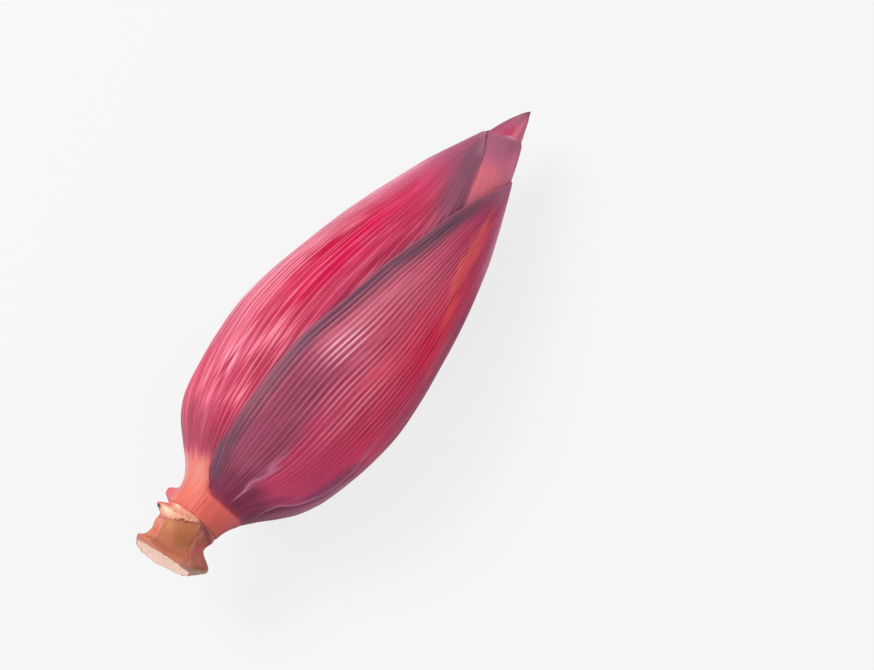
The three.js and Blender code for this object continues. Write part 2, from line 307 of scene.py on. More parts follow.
BRACTS = {
    "bract_outer": dict(
        level=0, keel=74, base=23.6, side_end=248, tip=252.4, squareness=2, columns=27, rows=172, seed=3,
        ribs=56, uneven=0.08, weakest_rib=0.65, rib_contrast=0.5,
        left=[(23.6, 72), (34, 78), (38.5, 88), (44, 98), (50, 98), (60, 93), *UPPER_MARGIN],
        right=[(23.6, 95), (36, 95), (46, 108), (62, 120), (104, 131), (150, 124), (194, 102), (220, 78),
               (234, 60), (243, 42), (248, 20)],
        rib_left=[(23.6, 84), (45, 90), (60, 92.5), *UPPER_MARGIN],
        swellings=[(46, 97, 13, 42, 3.4)], rib_shift=[(60, 0), (110, -2), (150, -1), (200, 0)],
    ),
    "bract_second": dict(
        level=1, keel=-74, base=24.4, side_end=258, tip=264.4, squareness=2, columns=27, rows=172, seed=5,
        ribs=54, uneven=0.35, weakest_rib=0.5, rib_contrast=1.1,
        left=[(24.4, 118), (60, 108), (150, 102), (190, 97), (223, 86), (244, 72), (253, 59), (258, 44)],
        right=[(24.4, 84), (60, 94), (120, 97), (190, 92), (223, 81), (244, 66.5), (253, 54), (258, 40)],
        swellings=[(26.9, -102, 3.1, 17, 4.4)],
        rib_shift=[(60, 0), (100, -5), (140, -8), (170, -6), (215, 0)],
    ),
    "bract_third": dict(
        level=2, keel=136, base=31, side_end=260.5, tip=271.6, squareness=6, columns=24, rows=120, seed=7,
        ribs=40, uneven=0.3, weakest_rib=0.3, rib_contrast=0.8,
        left=[(31, 95), (60, 100), (150, 108), (200, 122), (222, 140), (240, 158), (253, 170), (260.5, 176)],
        right=[(31, 95), (60, 100), (150, 105), (210, 115), (240, 136), (260.5, 160)],
        swellings=[], rib_shift=[(60, 0), (200, 0)],
    ),
    "bract_fourth": dict(
        level=3, keel=-14, base=38, side_end=287, tip=APEX, squareness=2, columns=21, rows=120, seed=9,
        ribs=34, uneven=0.3, weakest_rib=0.3, rib_contrast=0.8,
        left=[(38, 95), (60, 100), (150, 108), (210, 114), (250, 122), (272, 116), (280, 98), (284.5, 76),
              (287, 52)],
        right=[(38, 95), (60, 100), (150, 108), (210, 114), (250, 122), (272, 112), (280, 94), (284.5, 74),
               (287, 52)],
        swellings=[], rib_shift=[(60, 0), (200, 0)],
    ),
}
RIB_DEPTH = 0.37  # of the grooves between ribs, in mm
GROOVE_POWER = 1.3  # how narrow a groove is
CREST_POWER = 3  # how narrow the painted highlight on a rib's crest is
CREST_SIDE = 0.1  # how far off the rib's middle it lies, in ribs, on the side that faces the light
FOLD_DEPTH = 0.28  # of the broad furrows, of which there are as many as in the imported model
FOLD_COLUMNS = 3
SPARE_RIBS = 3  # ribs before the first that numbers are drawn for too; twice as many follow the last
# Relief sets in over these distances in mm: from the flat spot, from the margins and from the base.
CLEAR_OF_FLOOR = (0.05, 2.5)
RELIEF_FROM_EDGE = (0.4, 5)
RELIEF_FROM_BASE = (12, 40)
FLAT_UNDER = 5  # a swelling shorter than this, in mm, has a flat top
THIN_SHEET = (0.7, 1.4)  # the thicknesses over which a sheet takes its full relief
RIBS_WHERE_THIN = 0.4  # the share of the ribs' depth left on a thin sheet
RIBS_WHERE_UNSEEN = 0.35  # and where their colours don't show
HUG = 0.75  # how much of the gap under a free margin it closes
HUG_AT_TIPS = 0.9
HUG_FROM = (60, 80)  # the stations between which the margins begin to hug
HUG_WIDTH = 3.5
HUG_WIDER_AT_TIPS = 2
AT_TIPS = (225, 245)
BUTTS_ON = 23.22  # the station that the outermost bases reach back to
BUTTING_BASES = 25  # a bract whose base lies before this station is one of them
CALM_ON_CRIMSON = 0.85  # how much the pale ribs fade where the skin is crimson
# How much the ribs' colours fade at the bracts' smooth tips, and the stations between which they do.
SMOOTH_TIPS = 0.6
TIP_ZONE = (172, 240)
# The same on smooth patches of the sides: station, meridian, length and width of each.
SMOOTH_SIDES = 0.6
SMOOTH_ZONES = {"bract_outer": (74, 52, 24, 22), "bract_second": (190, -24, 34, 18)}


def bract_place(bract, u, along):
    """A bract's place, for u from -1 to 1 across it and along from 0 at its base to 1.

    Returns its station, its meridian, the side's reach in degrees, its rib's place (which u is, but for
    where the margin cuts across the ribs) and how far the tip's bow moves it along.
    """
    side_station = bract["base"] + (bract["side_end"] - bract["base"]) * along
    left = curve(bract["left"])(side_station)
    right = curve(bract["right"])(side_station)
    reach = np.where(u < 0, left, right)
    rib_left = curve(bract.get("rib_left", bract["left"]))(side_station)
    rib_reach = np.where(u < 0, rib_left, right)
    roundness = 1 - np.abs(u) ** bract["squareness"]
    bow = (bract["tip"] - bract["side_end"]) * np.maximum(along, 0) ** TIP_ONLY * roundness
    return side_station + bow, bract["keel"] + u * reach, reach, u * reach / rib_reach, bow


def ribs_of(bract, station, u, reach):
    """The grooves from 0 to 1, how light (or below 0, how deep) each run of ribs is, and the crests' painted
    highlights.
    """
    seed = bract["seed"]
    draw = np.random.default_rng(seed)
    drawn = bract["ribs"] + 3 * SPARE_RIBS
    strengths = draw.uniform(bract["weakest_rib"], 1.0, drawn)
    lights = draw.uniform(-1, 1, drawn)
    shift = curve(bract["rib_shift"])(station) / reach * (1 - u**4)
    wander = 0.1 * drift(seed + 20, station / 140, u * 3)
    uneven = bract["uneven"] * drift(seed + 30, station / 400, u * 13)
    number = bract["ribs"] * (u - shift + 1) / 2 + wander + uneven + SPARE_RIBS
    nearest = np.clip(np.rint(number).astype(int), 0, len(strengths) - 1)
    groove = (0.5 + 0.5 * np.cos(2 * math.pi * number)) ** GROOVE_POWER
    crest = (0.5 - 0.5 * np.cos(2 * math.pi * (number + CREST_SIDE))) ** CREST_POWER
    fading = np.clip(0.85 + 0.35 * drift(seed + 40, station / 46, number / 3.5), 0.15, 1.2)
    below = np.clip(np.floor(number).astype(int), 0, len(lights) - 1)
    share = number - np.floor(number)
    runs = drift(seed + 60, station / 170, number / 5.5)
    broken = drift(seed + 80, station / 110, number / 1.1)
    light = bract["rib_contrast"] * (0.6 * lights[below] + 0.5 * runs + 0.4 * broken)
    light *= np.sin(math.pi * share) ** 0.5
    return groove * strengths[nearest] * fading, light, crest * strengths[below] * fading


def bract_grid(bract):
    """A bract's columns u, the ones of them that its lower face keeps, and its rows along it."""
    inside = np.linspace(-1, 1, bract["ribs"] * COLUMNS_PER_RIB + 1)
    inside = inside[np.abs(inside) < 1 - EDGE_COLUMNS[-1] - EDGE_SPACE]
    u = np.concatenate([EDGE_COLUMNS - 1, inside, 1 - EDGE_COLUMNS[::-1]])
    edge = len(EDGE_COLUMNS)
    coarse = np.r_[:edge, edge:len(u) - edge:COLUMNS_PER_RIB, len(u) - edge:len(u)]
    first = EDGE_ROWS[-1] + EDGE_ROW_SPACE
    middle = ROW_STATIONS(np.linspace(0, 1, bract["rows"] + 1))
    middle = middle[(middle > first) & (middle < 1 - first)]
    back = 0
    if bract["base"] < BUTTING_BASES:
        back = (BUTTS_ON - bract["base"]) / (bract["side_end"] - bract["base"])
    along = np.concatenate([EDGE_ROWS + [back, 0, 0, 0], middle, 1 - EDGE_ROWS[::-1]])
    return u[None, :], coarse, along[:, None]


def closed_sheet(upper, lower, coarse):
    """The faces of a sheet between two grids of points; lower has only the coarse columns of upper."""
    surface = Surface()
    top = surface.grid(upper)
    under = surface.grid(lower)
    surface.quads(top, UPPER_FACE)
    surface.quads(under, LOWER_FACE, flip=True)
    left, _, right, _ = UPPER_FACE
    for column, low_end, flip in ((0, SIDE_STRIPS[0], False), (-1, SIDE_STRIPS[1], True)):
        side = np.stack([top[:, column], under[:, column]], 1).T
        surface.quads(side, (left, low_end, right, low_end + STRIP), flip)
    for row, low_end, flip in ((0, END_STRIPS[0], False), (-1, END_STRIPS[1], True)):
        for i in range(len(coarse) - 1):
            a, b = coarse[i], coarse[i + 1]
            loop = list(top[row, a:b + 1][::-1]) + [under[row, i], under[row, i + 1]]
            across = [left + STRIPS_WIDTH * k / top.shape[1] for k in range(b, a - 1, -1)]
            spots = [(x, low_end + STRIP) for x in across] + [(across[-1], low_end), (across[0], low_end)]
            if flip:
                loop.reverse()
                spots.reverse()
            surface.face(loop, spots)
    return surface


def bract_fields(name, station, meridian, rim, rib_place, shown, ribs):
    """What a bract's shader reads at each point: its ribs, as far as they show, and its colours' masks."""
    groove, light, crest = ribs
    _, ribs_seen, masks, gleams = FIELDS[name]
    seen = ribs_seen(station, meridian)
    marked = seen * (0.3 + 0.7 * shown)
    fields = dict(
        groove=groove * marked,
        pale_rib=np.clip(light, 0, 1) * seen,
        deep_rib=np.clip(-light, 0, 1) * seen,
        crest=crest * marked,
        soft=1 - np.clip(1.6 * seen, 0, 1),
        flow=np.stack([station, rib_place * 90, 0 * station], -1),
    )
    for key, mask in masks(station, meridian, rim).items():
        fields[key] = np.broadcast_to(mask, station.shape)
    fields["gleam"] = gleams(station, meridian) * crest
    calm = 1 - CALM_ON_CRIMSON * np.clip(fields.get("crimson", 0), 0, 1)
    for key in ("pale_rib", "crest"):
        fields[key] = fields[key] * calm
    dim = 1 - SMOOTH_TIPS * rises(station, *TIP_ZONE)
    if name in SMOOTH_ZONES:
        dim *= 1 - SMOOTH_SIDES * patch(station, meridian, *SMOOTH_ZONES[name])
    for key in ("groove", "deep_rib", "pale_rib", "crest"):
        fields[key] = fields[key] * dim
    return fields


def bract_surface(name):
    bract = BRACTS[name]
    u, coarse, along = bract_grid(bract)
    station, meridian, reach, rib_place, bow = bract_place(bract, u, along)
    level = bract["level"]
    if level == 0:
        level = outermost_level(station, meridian)
    depth = level_depth(station)
    gap = np.clip(GAP_SHARE * depth, TIGHT_GAP, SHEET_GAP)
    low = level_radius(station, meridian, level) - np.maximum(depth - gap, THINNEST_SHEET)
    full = level_radius(station, meridian, level) - low

    from_side = (1 - np.abs(u)) * np.radians(reach) * np.maximum(low, 1)
    to_tip = (1 - along) * (bract["side_end"] - bract["base"] + TIP_ONLY * bow)
    rim = np.minimum(from_side, to_tip)
    at_tips = rises(station, *AT_TIPS)
    hug = HUG + (HUG_AT_TIPS - HUG) * at_tips
    near_rim = bell(rim, HUG_WIDTH + HUG_WIDER_AT_TIPS * at_tips)
    low -= hug * gap * near_rim * rises(station, *HUG_FROM)

    rim_share = np.clip((1 - np.abs(u)) * bract["columns"] / 2, 0, 1)
    rim_share = 1 - (1 - rim_share) ** 2
    thick = np.minimum(full, MARGIN_THICKNESS) * (1 - rim_share) + full * rim_share

    groove, light, crest = ribs_of(bract, station, rib_place, reach)
    details, ribs_seen, _, _ = FIELDS[name]
    over = overreach(station, meridian)
    clear = rises(-over, *CLEAR_OF_FLOOR)
    shown = clear * rises(rim, *RELIEF_FROM_EDGE) * rises(station - bract["base"], *RELIEF_FROM_BASE)
    thick_enough = rises(full, *THIN_SHEET)
    folds = (0.5 + 0.5 * np.cos(math.pi * bract["columns"] / FOLD_COLUMNS * (u + 1))) ** 2
    depth_share = RIBS_WHERE_THIN + (1 - RIBS_WHERE_THIN) * thick_enough
    seen_share = RIBS_WHERE_UNSEEN + (1 - RIBS_WHERE_UNSEEN) * ribs_seen(station, meridian)
    relief = -RIB_DEPTH * groove * shown * depth_share * seen_share
    relief -= FOLD_DEPTH * folds * 4 * along * (1 - along) * shown * thick_enough
    relief += details(station, meridian, rim) * clear
    for at, turn, span, turn_span, height in bract["swellings"]:
        shape = flat_bell if span < FLAT_UNDER else bell
        relief += height * shape(station - at, span) * shape(turn_of(meridian - turn), turn_span)

    radius_of_edge = np.minimum(thick / 2, EDGE_ROUND)
    left_over = radius_of_edge - np.minimum(rim, radius_of_edge)
    rounding = radius_of_edge - np.sqrt(np.maximum(radius_of_edge**2 - left_over**2, 0))
    high = np.maximum(low + thick + relief, low + LEAST_THICKNESS) - rounding
    high = np.where(over > 0, low + thick - rounding, high)

    lower = place_points(station, meridian, low + rounding)[:, coarse]
    surface = closed_sheet(place_points(station, meridian, high), lower, coarse)
    fields = bract_fields(name, station, meridian, rim, rib_place, shown, (groove, light, crest))
    joined = {}
    for key, values in fields.items():
        tail = values.shape[2:]
        joined[key] = np.concatenate([values.reshape(-1, *tail), values[:, coarse].reshape(-1, *tail)])
    return surface.build(name + "_fine", joined)


# The station where the cushion of bare flesh at the outermost bract's base ends, over the meridian.
CUSHION_EDGE = curve(
    [(-25, 36.4), (-8, 35.8), (5, 35.4), (23, 35.4), (41, 35.7), (64, 36.1), (90, 34.8), (180, 34.8)])
# The meridian of the crease on the outermost bract's lower flank, over the station.
FLANK_CREASE = curve(
    [(38, 80), (46.8, 64), (51, 62), (56, 67), (64, 69), (81, 70), (95, 66), (120, 60)])


def details_outer(station, meridian, rim):
    """The cushion's edge, the crease on the lower flank and the lifted free margin."""
    step = station - CUSHION_EDGE(meridian)
    raised = 1 - 0.8 * rises(meridian, 46, 78)
    relief = raised * (0.9 * bell(step + 1.4, 2.2) - 0.9 * bell(step - 0.6, 1.3))
    across = (meridian - FLANK_CREASE(station)) * np.radians(1) * outline(station)
    held = between(station, 40, 46, 84, 104)
    relief += held * (0.7 * bell(across + 1.2, 1.6) - 0.6 * bell(across - 1.2, 1.4))
    lift = 0.25 * drift(61, station / 38) * bell(rim, 3.5) * rises(station, 50, 80)
    return relief + lift


def details_plain(seed):
    def details(station, meridian, rim):
        return 0.12 * drift(seed, station / 30) * bell(rim, 2.5)

    return details


def details_second(station, meridian, rim):
    """Faint lengthwise ridges on the bare neck."""
    neck = falls(station, 40, 52)
    return neck * 0.12 * drift(71, station / 60, meridian / 9) + details_plain(72)(station, meridian, rim)



# -------- where the ribs show


def patch(station, meridian, at, turn, length, width, slant=0):
    """A soft oval patch; slant is how many degrees it turns for each mm along."""
    return bell(station - at, length) * bell(meridian - turn - slant * (station - at), width)


def wavering(station, meridian, seed, reach, turn, lengths, turns, fold=False):
    """A place moved by up to about reach mm and turn degrees, so that no colour ends on a straight line.

    lengths and turns are the two drifts' wavelengths, in mm and in degrees; with fold, the meridian is
    brought into -180 to 180 first. The masks call the moved station s and the moved meridian m.
    """
    ahead = reach * drift(seed, station / lengths[0], meridian / turns[0])
    aside = turn * drift(seed + 1, station / lengths[1], meridian / turns[1])
    return station + ahead, (turn_of(meridian) if fold else meridian) + aside


def ribs_outer(station, meridian):
    strong = np.maximum(patch(station, meridian, 132, 8, 40, 18), patch(station, meridian, 132, 42, 56, 19))
    smooth = 0.35 * patch(station, meridian, 66, 48, 26, 24) + 0.3 * patch(station, meridian, 66, 2, 30, 14)
    seen = 0.55 + 0.5 * strong - smooth - 0.2 * rises(station, 205, 240)
    return seen * rises(station, 36, 48)


def ribs_second(station, meridian):
    strong = bell(meridian + 38, 28) * rises(station, 56, 76)
    smooth = 0.35 * patch(station, meridian, 150, -35, 34, 11)
    seen = (0.45 + 0.55 * strong - smooth) * (1 - 0.72 * rises(station, 196, 226))
    return seen * rises(station, 44, 56)


def all_over(value):
    return lambda station, meridian: value + 0 * station * meridian



# -------- where the colours lie


def masks_outer(station, meridian, rim):
    s, m = wavering(station, meridian, 101, 2.2, 1.8, (26, 24), (17, 15))
    step = station - CUSHION_EDGE(meridian)
    left_side = falls(meridian, 55, 85)
    seam = curve([(36, 30), (45, 26), (60, 22), (80, 18), (110, 14), (150, 14)])
    above_seam = falls(m - seam(s), -5, 6)
    streak = curve(
        [(150, 54), (165, 48), (177, 43), (187, 39), (197, 36), (213, 37), (229, 41), (240, 46)])
    width = 0.8 + 0.2 * rises(s, 110, 160) - 0.34 * rises(s, 185, 240)
    band = falls(rim, 4.5 * width, 11.5 * width) * (0.85 + 0.15 * rises(rim, 0.4, 2.5))
    band *= rises(s, 38, 46) * (1 - 0.8 * rises(s, 216, 242) * rises(m, 12, 38))
    tip_dusk = 0.25 * rises(s, 200, 238) * bell(rim, 11) * falls(m, 42, 58)
    return dict(
        rose=between(s, 92, 130, 175, 235) * falls(m, 34, 58),
        wine=between(s, 46, 58, 100, 128) * bell(m - 38, 22),
        mauve=above_seam * between(s, 37, 46, 96, 128),
        # lilac: a painted highlight along the seam.
        lilac=bell(m - seam(s) + 1, 1.9) * between(s, 36, 40, 52, 78),
        plum=falls(s, 45, 57) * rises(step, -0.6, 0.9) * rises(m, -34, -16),
        flank=rises(m, 58, 66) * falls(s, 74, 104) * rises(step, 0, 3),
        frost=patch(s, m, 74, 86, 22, 10) * rises(step, 0, 3),
        shine=patch(s, m, 140, 5, 26, 7, 0.14) + 0.3 * patch(s, m, 106, 27, 24, 8)
        + 0.3 * patch(s, m, 96, 11, 16, 7),
        crimson=patch(s, m, 158, 50, 42, 15) + 0.5 * patch(s, m, 96, 62, 22, 16)
        + 0.4 * patch(s, m, 130, 32, 46, 12),
        ember=bell(m - streak(s) - 5, 6) * between(s, 150, 176, 208, 236),
        glow=bell(m - streak(s) - 0.5, 2.2) * between(s, 152, 178, 214, 236),
        shade=bell(m - 80, 13) * between(s, 92, 140, 176, 212),
        # under: painted shade over the underside.
        under=rises(meridian, 92, 130),
        haze=rises(s, 165, 215) * falls(m, 30, 60) * rises(rim, 5, 14),
        lavender=rises(s, 224, 242) * bell(rim - 5, 8) * rises(m, 14, 34),
        pale=bell(m - 73, 13) * between(s, 186, 216, 228, 252),
        dusk=np.clip(band * left_side + tip_dusk, 0, 1),
        slate=bell(rim - 3.6, 3.0) * left_side * between(s, 38, 44, 206, 236)
        * (1 - 0.7 * bell(s - 80, 18)),
        thread=bell(meridian - FLANK_CREASE(station) + 1.5, 2.2) * between(station, 42, 48, 84, 110),
        cushion=falls(step, -1.6, 0.4),
        flush=falls(step, -1.6, 0.4) * rises(m, 58, 84),
        # line: a painted shadow along the cushion's edge.
        line=bell(step - 0.5, 0.9) * falls(m, 55, 80),
        edge=bell(rim, 0.55) * rises(s, 60, 120),
    )


def masks_second(station, meridian, rim):
    s, m = wavering(station, meridian, 111, 2.2, 1.8, (26, 24), (17, 15))
    neck_end = curve([(-100, 47), (-60, 45), (-45, 46), (-30, 46), (-18, 41), (20, 38)])
    step = station - neck_end(meridian) + 1.6 * drift(113, meridian / 6)
    front = rises(meridian, -130, -90)
    cover = BRACTS["bract_outer"]
    covered_from = cover["keel"] - curve(cover["left"])(station)
    outside = (covered_from - meridian) * np.radians(1) * outline(station)
    return dict(
        pink=bell(m + 56, 13) * between(s, 56, 70, 140, 205),
        flush=patch(s, m, 72, -78, 26, 12),
        rose=patch(s, m, 100, -26, 44, 9) + patch(s, m, 196, -16, 26, 8),
        crimson=1.35 * patch(s, m, 150, -36, 32, 11) + 0.6 * patch(s, m, 190, -37, 36, 13),
        # The pale band along the upper outline: partly the waxy bloom, partly a painted sheen.
        bloom=bell(m + 82, 16 + 8 * rises(s, 165, 215)) * between(s, 86, 132, 262, 275) * front,
        shoulder=falls(s, 54, 70) * rises(step, 0, 3),
        mauve=rises(s, 212, 248),
        grey=rises(s, 182, 214) * bell(rim - 5, 9) * rises(m, -62, -30),
        back=rises(-meridian, 108, 150),
        neck=falls(step, -2.2, 1.0),
        peach=patch(s, m, 40, -36, 6, 22),
        salmon=falls(step, -2.2, 1.0) * rises(-m, 52, 84),
        ginger=patch(station, meridian, 43.5, -25, 3, 7),
        # Painted shade, in dark red, in the corner by the outer bract's margin.
        scarlet=patch(station, meridian, 40, -13, 5, 5),
        nub=patch(station, meridian, 27.2, -100, 3.6, 24),
        spot=patch(station, meridian, 25.6, -64, 1.7, 9),
        # Painted shadow that the outer bract's free margin casts on this one.
        hem=bell(outside, 1.8) * between(s, 44, 54, 214, 226),
        glow=bell(rim - 2.5, 2.2) * rises(s, 244, 254),
        edge=bell(rim, 0.5) * rises(s, 190, 230),
    )


def masks_third(station, meridian, rim):
    s, m = wavering(station, meridian, 121, 1.4, 1.8, (22, 20), (15, 15), fold=True)
    return dict(
        peach=patch(s, m, 236, 12, 13, 22) + 0.5 * patch(s, m, 244, 34, 7, 22),
        mauve=rises(s, 248, 258),
        wine=bell(m + 60, 40) * rises(s, 255, 262),
        blush=patch(s, m, 257, 48, 9, 26),
        # A painted highlight on the margin's lip.
        bright=bell(rim - 0.8, 0.7) * bell(m - 8, 18),
        edge=bell(rim, 0.5),
    )


def masks_fourth(station, meridian, rim):
    s, m = wavering(station, meridian, 131, 1.0, 1.8, (20, 20), (15, 15), fold=True)
    return dict(
        red=bell(m + 14, 26) * between(s, 263, 268, 272, 280),
        mauve=bell(m - 14, 13) * rises(s, 262, 270),
        pale=rises(m, 22, 40),
        lilac=rises(-m, 26, 60) * falls(s, 276, 284),
        dusk=rises(s, 283, 288.5),
        edge=bell(rim, 0.5),
    )



def gleams_outer(station, meridian):
    """Where the crests shine."""
    wide = 1.5 * patch(station, meridian, 122, 5, 11, 7, 0.1)
    return np.clip(wide + 0.3 * patch(station, meridian, 104, 30, 20, 12), 0, 1)


def gleams_second(station, meridian):
    return 0.55 * bell(meridian + 48, 22) * between(station, 60, 90, 140, 215)


# For each bract: its small relief, how strongly its ribs show, where its colours lie and its crests gleam.
FIELDS = {
    "bract_outer": (details_outer, ribs_outer, masks_outer, gleams_outer),
    "bract_second": (details_second, ribs_second, masks_second, gleams_second),
    "bract_third": (details_plain(73), all_over(0.22), masks_third, all_over(0)),
    "bract_fourth": (details_plain(74), all_over(0.2), masks_fourth, all_over(0)),
}

# -------- inner bud

INNER_BASE = 44
INNER_APEX = 284
INNER_LEVEL = 4
INNER_TAPER = 0.5
INNER_TAPER_FROM = 256
INNER_SEGMENTS = 120
INNER_RINGS = 130
INNER_RIBS = 24
INNER_GROOVE_POWER = 1.6
INNER_RELIEF = 0.1
INNER_ROUND_END = 3.5
INNER_END_SPACE = 0.5  # between the last ring and the apex
# Where the faces of a body of rings lie in the unit square: the rings, and the fans that close its ends.
RINGS_FACE = (0.01, 0.01, 0.99, 0.85)
FANS_LOW = (0.87, 0.94)
FAN_HEIGHT = 0.05


def rings_surface(station, meridian, radius, first, last):
    """A closed body of rings with a middle point at each end, at those stations; columns run once round."""
    surface = Surface()
    index = surface.grid(place_points(station, meridian, radius))
    wrapped = np.concatenate([index, index[:, :1]], 1)
    surface.quads(wrapped, RINGS_FACE)
    left, _, right, _ = RINGS_FACE
    for middle, row, flip, low in ((first, 0, True, FANS_LOW[0]), (last, -1, False, FANS_LOW[1])):
        point = surface.grid(place_points(middle, 0, 0)[None, None, :])[0, 0]
        columns = index.shape[1]
        for c in range(columns):
            loop = [wrapped[row, c], wrapped[row, c + 1], point]
            across = [left + (right - left) * at / columns for at in (c, c + 1, c + 0.5)]
            spots = [(across[0], low), (across[1], low), (across[2], low + FAN_HEIGHT)]
            if flip:
                loop.reverse()
                spots.reverse()
            surface.face(loop, spots)
    return surface


def inner_bud():
    meridian = np.linspace(0, 360, INNER_SEGMENTS, endpoint=False)[None, :]
    along = ROW_STATIONS(np.linspace(0, 1, INNER_RINGS))[:, None]
    station = INNER_BASE + (INNER_APEX - INNER_END_SPACE - INNER_BASE) * along + 0 * meridian
    shrink = 1 - INNER_TAPER * rises(station, INNER_TAPER_FROM, INNER_APEX)
    groove = (0.5 + 0.5 * np.cos(np.radians(meridian) * INNER_RIBS)) ** INNER_GROOVE_POWER + 0 * station
    radius = level_radius(station, meridian, INNER_LEVEL) * shrink - INNER_RELIEF * groove * shrink
    radius *= np.sqrt(np.clip((INNER_APEX - station) / INNER_ROUND_END, 0.12, 1))
    surface = rings_surface(station, meridian, radius, INNER_BASE, INNER_APEX)
    flow = np.stack([station, np.radians(meridian) * 20 + 0 * station, 0 * station], -1).reshape(-1, 3)
    flow = np.concatenate([flow, [[INNER_BASE, 0, 0], [INNER_APEX, 0, 0]]])
    fields = dict(flow=flow, groove=0.3 * np.append(groove.ravel(), [0, 0]))
    return surface.build("inner_bud_fine", fields)


# -------- stem

LIP = dict(
    station=[(-180, 2.4), (-90, 1.4), (0, 2.0), (40, 4.6), (60, 6.6), (85, 8.8), (120, 6.0), (180, 2.4)],
    height=[(-180, 2.0), (-145, 1.4), (-95, -0.4), (-65, 2.4), (0, 1.2), (35, 5.4), (52, 7.2), (70, 7.6),
            (85, 7.2), (105, 6.2), (125, 4.2), (180, 2.0)],
    width=[(-180, 2.4), (-90, 1.7), (0, 2.2), (40, 4.2), (85, 4.6), (120, 4.2), (180, 2.4)],
)
WAIST = dict(
    station=[(-180, 9.0), (-90, 7.4), (0, 10.0), (85, 14.6), (180, 9.0)],
    height=[(-180, -1.0), (-90, -1.3), (0, -0.4), (85, -1.7), (130, -1.4), (180, -1.0)],
    width=[(-180, 4.5), (-90, 3.6), (0, 4.5), (85, 3.4), (180, 4.5)],
)
SCAR = dict(
    station=[(-180, 20.0), (-90, 19.2), (-40, 17.8), (0, 20.4), (30, 21.4), (80, 20.6), (180, 20.0)],
    height=[(-180, 2.2), (-100, 4.6), (-70, 4.4), (-40, 2.6), (0, 1.5), (50, 0.9), (85, 0.3), (120, 1.0),
            (180, 2.2)],
    width=[(-180, 2.2), (-90, 2.1), (0, 2.3), (90, 2.4), (180, 2.2)],
)
STEM_SEGMENTS = 300
FACE_RINGS = 26
SKIN_RINGS = 110
# Heights of the small relief, in mm: on the cut and its rim, then on the skin.
BROKEN_EDGE = 0.22
CUT_GRAIN = 0.16
CUT_RING = 0.25
CUT_ROUNDING = 0.25
FIBRE_HEIGHT = 0.1
LUMP_HEIGHT = 0.3
PLATE_DEPTH = 0.45
KNOB_HEIGHT = 0.32

cut_rim = curve(CUT_RIM)


def stem_radius(station, meridian):
    turn = turn_of(meridian)
    radius = STEM_RADIUS + CUT_FLARE * falls(station, 0, CUT_FLARE_LENGTH)
    for rim in (LIP, WAIST, SCAR):
        off = station - curve(rim["station"])(turn)
        radius += curve(rim["height"])(turn) * bell(off, curve(rim["width"])(turn))
    return radius


def stem():
    meridian = np.linspace(-180, 180, STEM_SEGMENTS, endpoint=False)[None, :]
    x = cosine(meridian)
    y = sine(meridian)
    ragged = BROKEN_EDGE * drift(201, x * 2.6, y * 2.6) + 0.5 * BROKEN_EDGE * drift(202, x * 8, y * 8)

    share = np.linspace(0.03, 0.985, FACE_RINGS)[:, None]
    face_radius = stem_radius(cut_rim(meridian), meridian) * share
    grain = drift(203, x * share * 3, y * share * 3) + 0.7 * drift(204, x * share * 9, y * share * 9)
    face_station = cut_rim(meridian) * share + CUT_HOLLOW * (1 - share**2) + ragged * share**6
    face_station += CUT_GRAIN * grain * (1 - share**8)
    ring = CUT_RING * bell(share - 0.8, 0.05)
    face_station += ring * rises(drift(205, x * 1.5, y * 1.5), -0.4, 0.4)

    skin = np.concatenate([[0.0, 0.12, 0.35, 0.7], np.linspace(1.1, STEM_SHOULDER, SKIN_RINGS)])[:, None]
    settle = falls(skin, 0, CUT_FADE)
    skin_station = skin + cut_rim(meridian) * settle + ragged * falls(skin, 0, 3)
    skin_radius = stem_radius(skin_station, meridian)
    skin_radius -= CUT_ROUNDING * falls(skin, 0, 0.4)
    lies = masks_stem(skin_station, meridian + 0 * skin_station)
    plain = 1 - 0.8 * lies["plate"]
    fibres = drift(206, x * 9, y * 9, skin_station / 60) + 0.6 * drift(207, x * 24, y * 24, skin_station / 40)
    lumps = drift(208, x * 1.8, y * 1.8, skin_station / 14)
    knobs = drift(209, x * 5, y * 5, skin_station / 2.6)
    middle = between(skin, 1, 5, 19, 22)
    skin_radius += FIBRE_HEIGHT * fibres * plain
    skin_radius += LUMP_HEIGHT * lumps * plain * middle
    skin_radius -= PLATE_DEPTH * lies["plate"]
    skin_radius += KNOB_HEIGHT * (1 + knobs) * lies["cream"] * middle

    core_station = np.array([at for at, _ in CORE])[:, None]
    core_radius = np.array([radius for _, radius in CORE])[:, None]
    station = np.concatenate([face_station, skin_station, core_station + 0 * meridian])
    radius = np.concatenate([face_radius, skin_radius, core_radius + 0 * meridian])
    turn = meridian + 0 * station

    surface = rings_surface(station, turn, radius, CUT_HOLLOW, CORE[-1][0])
    rind = [rises(share, 0.92, 0.985), falls(skin, 0.1, 0.6), 0 * core_station]
    fields = dict(
        face=np.concatenate([0 * share + 1, 0 * skin, 0 * core_station]) + 0 * meridian,
        rind=np.concatenate(rind) + 0 * meridian,
        **masks_stem(station, turn),
        flow=np.stack([station, np.radians(turn) * 14, radius], -1),
    )
    joined = {}
    for key, values in fields.items():
        tail = values.shape[2:]
        ends = np.zeros((2, *tail))
        if key == "face":
            ends[0] = 1
        joined[key] = np.concatenate([values.reshape(-1, *tail), ends])
    return surface.build("stem_fine", joined)


